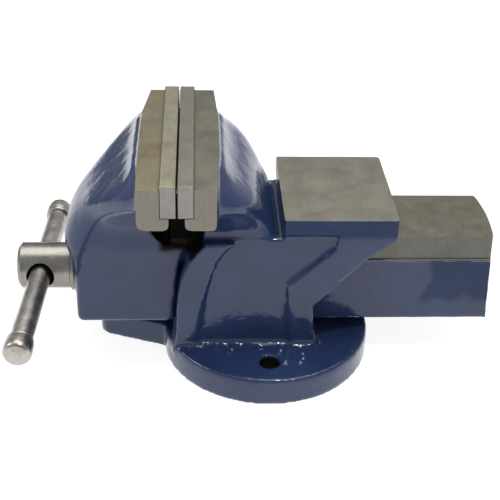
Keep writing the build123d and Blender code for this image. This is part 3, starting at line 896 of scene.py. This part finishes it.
def iron(name, tone, grain, rough, contrast, stain, stained):
    """Machined or ground metal: cutter lines along one axis, faint mottling, stains and small pits."""
    material, tree, surface = shader(name, Specular_IOR_Level=0.05)
    where = place(tree)
    lines = speckle(tree, place(tree, grain), 1.0, 4, 0.6)
    mottle = speckle(tree, where, 75, 5, 0.65)
    patches = spread(tree, speckle(tree, where, 42, 6, 0.7), 0.5, 0.66, 0, stained)
    grit = speckle(tree, where, 1100, 2)
    light = [c * (1 + contrast) for c in tone]
    dark = [c * (1 - contrast) for c in tone]
    unshaded_unstained = blend(tree, spread(tree, mottle, 0.3, 0.7), dark, light)
    plain = blend(tree, patches, unshaded_unstained, stain)
    lined = blend(tree, spread(tree, lines, 0.35, 0.75, 0, 0.4), plain, [c * 0.7 for c in tone])
    gritty = blend(tree, spread(tree, grit, 0.55, 0.75, 0, 0.5), lined, [c * 0.55 for c in tone])
    # Where the mesh marks painted shade, the metal turns near black and stops being metallic.
    painted_shade = told(tree, "painted_shade")
    tree.links.new(blend(tree, painted_shade, gritty, IRON_PAINTED_SHADE_TONE), surface.inputs["Base Color"])
    tree.links.new(spread(tree, painted_shade, 0, 1, 1, 0), surface.inputs["Metallic"])
    tree.links.new(spread(tree, mottle, 0.3, 0.7, *rough), surface.inputs["Roughness"])
    bumps(tree, surface, [(lines, 0.35, 0.00008), (grit, 0.35, 0.0001)])
    return material


def ledge_painted_highlight():
    """A painted highlight on the narrow ledge along the slide bar: a light grey-beige, rough finish."""
    material, tree, surface = shader("ledge_painted_highlight", Roughness=0.7)
    where = place(tree)
    tone = blend(tree, speckle(tree, where, 220, 4), (0.16, 0.155, 0.13), (0.27, 0.25, 0.2))
    tree.links.new(tone, surface.inputs["Base Color"])
    bumps(tree, surface, [(speckle(tree, where, 700), 0.3, 0.0001)])
    return material


def dark_steel():
    """Black oxide on screws and bolts."""
    material, tree, surface = shader("black_steel", Metallic=1.0)
    where = place(tree)
    tone = blend(tree, speckle(tree, where, 300, 4), (0.05, 0.05, 0.055), (0.12, 0.115, 0.11))
    tree.links.new(tone, surface.inputs["Base Color"])
    tree.links.new(spread(tree, speckle(tree, where, 500), 0.3, 0.7, 0.3, 0.5), surface.inputs["Roughness"])
    bumps(tree, surface, [(speckle(tree, where, 800), 0.2, 0.0001)])
    return material


# How the grain of ground metal is stretched, its roughness, and its contrast.
GROUND = ((900, 60, 60), (0.38, 0.5), 0.1)
# Each ground metal's colour, the colour of its stains, and how strong they are.
IRONS = {
    "tan_iron": ((0.285, 0.25, 0.17), (0.27, 0.18, 0.08), 0.7),
    "grey_iron": ((0.225, 0.215, 0.17), (0.19, 0.16, 0.1), 0.35),
    "anvil_iron": ((0.265, 0.25, 0.205), (0.25, 0.21, 0.15), 0.5),
    "end_iron": ((0.225, 0.21, 0.175), (0.17, 0.15, 0.11), 0.4),
    "slide_iron": ((0.2, 0.19, 0.15), (0.18, 0.145, 0.085), 0.6),
    "strip_iron": ((0.14, 0.145, 0.13), (0.1, 0.095, 0.06), 0.6),
    "warm_steel": ((0.37, 0.345, 0.255), (0.34, 0.27, 0.13), 0.6),
    "grey_steel": ((0.28, 0.265, 0.22), (0.22, 0.19, 0.13), 0.3),
    "end_steel": ((0.28, 0.268, 0.248), (0.2, 0.18, 0.15), 0.3),
}


# Each other metal: its colour, how its grain is stretched, its roughness, contrast, stain and stain strength.
STEELS = {
    "turned_steel": ((0.3, 0.29, 0.26), (1800, 30, 30), (0.24, 0.36), 0.1, (0.2, 0.15, 0.08), 0.5),
    "handle_steel": ((0.48, 0.46, 0.42), (700, 25, 700), (0.26, 0.42), 0.25, (0.2, 0.15, 0.08), 0.85),
    # The inside of the bar's cross hole: near black, a painted shade.
    "bore_painted_shade": ((0.012, 0.011, 0.01), (90, 90, 90), (0.6, 0.8), 0.3, (0.02, 0.014, 0.008), 0.3),
    "raw_iron": ((0.12, 0.115, 0.105), (90, 90, 90), (0.5, 0.7), 0.25, (0.2, 0.15, 0.08), 0.3),
}


def all_materials():
    made = {name: iron(name, tone, *GROUND, stain, share) for name, (tone, stain, share) in IRONS.items()}
    made |= {name: iron(name, *values) for name, values in STEELS.items()}
    made["blue_enamel"] = enamel()
    made["black_steel"] = dark_steel()
    made["ledge_painted_highlight"] = ledge_painted_highlight()
    return made


# Stage

FLOOR_HALF = 40.0
FLOOR_GAP = 0.2 * MM
FLOOR_GLOW = 0.88
# The dark panel's ends, how far behind it stands, and its height.
FLAG_LEFT = -2.4
FLAG_RIGHT = 0.35
FLAG_BACK = 1.0
FLAG_HEIGHT = 0.6
WORLD_TONE = (0.45, 0.455, 0.47, 1)
# Each light's place, size and power.
LIGHTS = {
    "overhead": ((0.1, 0.35, 1.5), (1.5, 1.3), 17),
    "left": ((-1.2, -0.1, 0.9), (0.5, 0.5), 4),
    "spark": ((0.25, -0.3, 1.2), (0.08, 0.08), 4),
}
LIGHT_TARGET = (0, 0, 0.05)


def area_light(name, spot, size, power):
    data = bpy.data.lights.new(name, "AREA")
    data.shape = "RECTANGLE"
    data.size, data.size_y = size
    data.energy = power
    lamp = bpy.data.objects.new(name, data)
    bpy.context.scene.collection.objects.link(lamp)
    lamp.location = spot
    lamp.rotation_euler = (Vector(LIGHT_TARGET) - Vector(spot)).to_track_quat("-Z", "Y").to_euler()


def floor():
    """A pale floor that glows a little, like a light table."""
    sheet = bpy.data.meshes.new("floor")
    half = FLOOR_HALF
    level = CAD_LOW.z - FLOOR_GAP
    corners = [(-half, -half, level), (half, -half, level), (half, half, level), (-half, half, level)]
    sheet.from_pydata(corners, [], [(0, 1, 2, 3)])
    piece = new_object("floor", sheet)
    glow = {"Emission_Color": (1, 1, 1, 1), "Emission_Strength": FLOOR_GLOW}
    material, _, _ = shader("floor_white", Base_Color=(0.3, 0.3, 0.3, 1), Roughness=0.9, **glow)
    sheet.materials.append(material)


def flag():
    """A soft-edged dark panel behind on the left, out of view, for the left dome to mirror."""
    sheet = bpy.data.meshes.new("flag")
    ends = ((FLAG_LEFT, 0), (FLAG_RIGHT, 0), (FLAG_RIGHT, FLAG_HEIGHT), (FLAG_LEFT, FLAG_HEIGHT))
    sheet.from_pydata([(x, FLAG_BACK, z) for x, z in ends], [], [(0, 1, 2, 3)])
    black = {"Base_Color": (0, 0, 0, 1), "Roughness": 1.0, "Emission_Color": (1, 1, 1, 1)}
    material, tree, surface = shader("flag_grey", **black)
    axes = make(tree, "ShaderNodeSeparateXYZ", Vector=place(tree)).outputs
    sides = scaled(tree, spread(tree, axes["X"], FLAG_LEFT, -1.7), spread(tree, axes["X"], FLAG_RIGHT, -0.1))
    upright = scaled(tree, spread(tree, axes["Z"], 0.0, 0.05), spread(tree, axes["Z"], FLAG_HEIGHT, 0.25))
    dark = scaled(tree, sides, upright)
    fading = spread(tree, axes["Z"], 0.2, FLAG_HEIGHT, 1.0, 0.45)
    glow = scaled(tree, fading, spread(tree, dark, 0, 1, 1, 0.12))
    tree.links.new(glow, surface.inputs["Emission Strength"])
    sheet.materials.append(material)
    piece = new_object("flag", sheet)
    piece.visible_camera = False


def stage():
    floor()
    flag()
    for name, values in LIGHTS.items():
        area_light(name, *values)
    world = bpy.data.worlds.new("studio")
    world.use_nodes = True
    background = world.node_tree.nodes["Background"]
    background.inputs["Color"].default_value = WORLD_TONE
    bpy.context.scene.world = world
    bpy.context.scene.view_settings.view_transform = "Standard"


# The camera stands in front and a little to the left, and looks down at the vise.
CAMERA_PLACE = (-48.8 * MM, -603.1 * MM, 443.5 * MM)
CAMERA_PITCH = math.radians(32.0)
CAMERA_YAW = math.radians(3.53)
CAMERA_ROLL = math.radians(1.86)
CAMERA_LENS = 73.28


def camera():
    data = bpy.data.cameras.new("camera")
    data.lens = CAMERA_LENS
    data.sensor_width = 36.0
    data.clip_start = 0.01
    data.clip_end = 100.0
    view = bpy.data.objects.new("camera", data)
    bpy.context.scene.collection.objects.link(view)
    flat = math.cos(CAMERA_PITCH)
    forward = Vector((math.sin(CAMERA_YAW) * flat, math.cos(CAMERA_YAW) * flat, -math.sin(CAMERA_PITCH)))
    level = Vector((math.cos(CAMERA_YAW), -math.sin(CAMERA_YAW), 0))
    above = level.cross(forward)
    right = math.cos(CAMERA_ROLL) * level + math.sin(CAMERA_ROLL) * above
    up = right.cross(forward)
    turn = Matrix((right, up, -forward)).transposed()
    view.matrix_world = Matrix.Translation(CAMERA_PLACE) @ turn.to_4x4()
    bpy.context.scene.camera = view


# Assembly


def cover(mesh, material):
    mesh.materials.clear()
    mesh.materials.append(MATERIALS[material])


def settle(piece, node, body):
    """The piece stands for a CAD node and moves with its body."""
    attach(piece, body)
    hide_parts(node)


def screw_places():
    """Where the plate screws stand, across and up."""
    boxes = [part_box(f"fixed_plate_screw_{side}") for side in ("near", "far")]
    return [((low.y + high.y) / 2, (low.z + high.z) / 2) for low, high in boxes]


# The pieces that stay as the solids they are, and their materials.
CAD_MATERIALS = {
    "fixed_plate_screw_near": "black_steel",
    "fixed_plate_screw_far": "black_steel",
    "moving_plate_screw_near": "black_steel",
    "moving_plate_screw_far": "black_steel",
    "thrust_washer": "turned_steel",
    "return_spring": "black_steel",
    "retaining_collar": "turned_steel",
    "split_pin": "turned_steel",
    "spindle_nut": "raw_iron",
    "nut_bolt": "black_steel",
    "nut_bolt_washer": "turned_steel",
    "tommy_bar": "handle_steel",
}

# Each plate: its gripping face, the way into it, its body, and the metals of its faces and ends.
PLATES = {
    "fixed": (FIXED_PLATE[0].x, 1, "vise_body", ("grey_steel", "end_steel")),
    "moving": (MOVING_PLATE[1].x, -1, "moving_jaw", ("warm_steel", "end_steel")),
}

camera()
stage()
MATERIALS = all_materials()
settle(fixed_casting(), "fixed_jaw_body", "vise_body")
settle(moving_casting(), "moving_jaw_body", "moving_jaw")
for jaw, (face_x, way, body, metals) in PLATES.items():
    plate = serrated_plate(f"{jaw}_serrated_plate", f"{jaw}_jaw_plate", face_x, way, metals)
    settle(plate, f"{jaw}_jaw_plate", body)
settle(spindle(), "spindle", "screw_assembly")
for side, way in (("near", -BAR_WAY), ("far", BAR_WAY)):
    forged = knob(f"{side}_forged_knob", f"{side}_handle_knob", way)
    settle(forged, f"{side}_handle_knob", "handle_assembly")
for node, material in CAD_MATERIALS.items():
    cover(frame["nodes"][node].data, material)
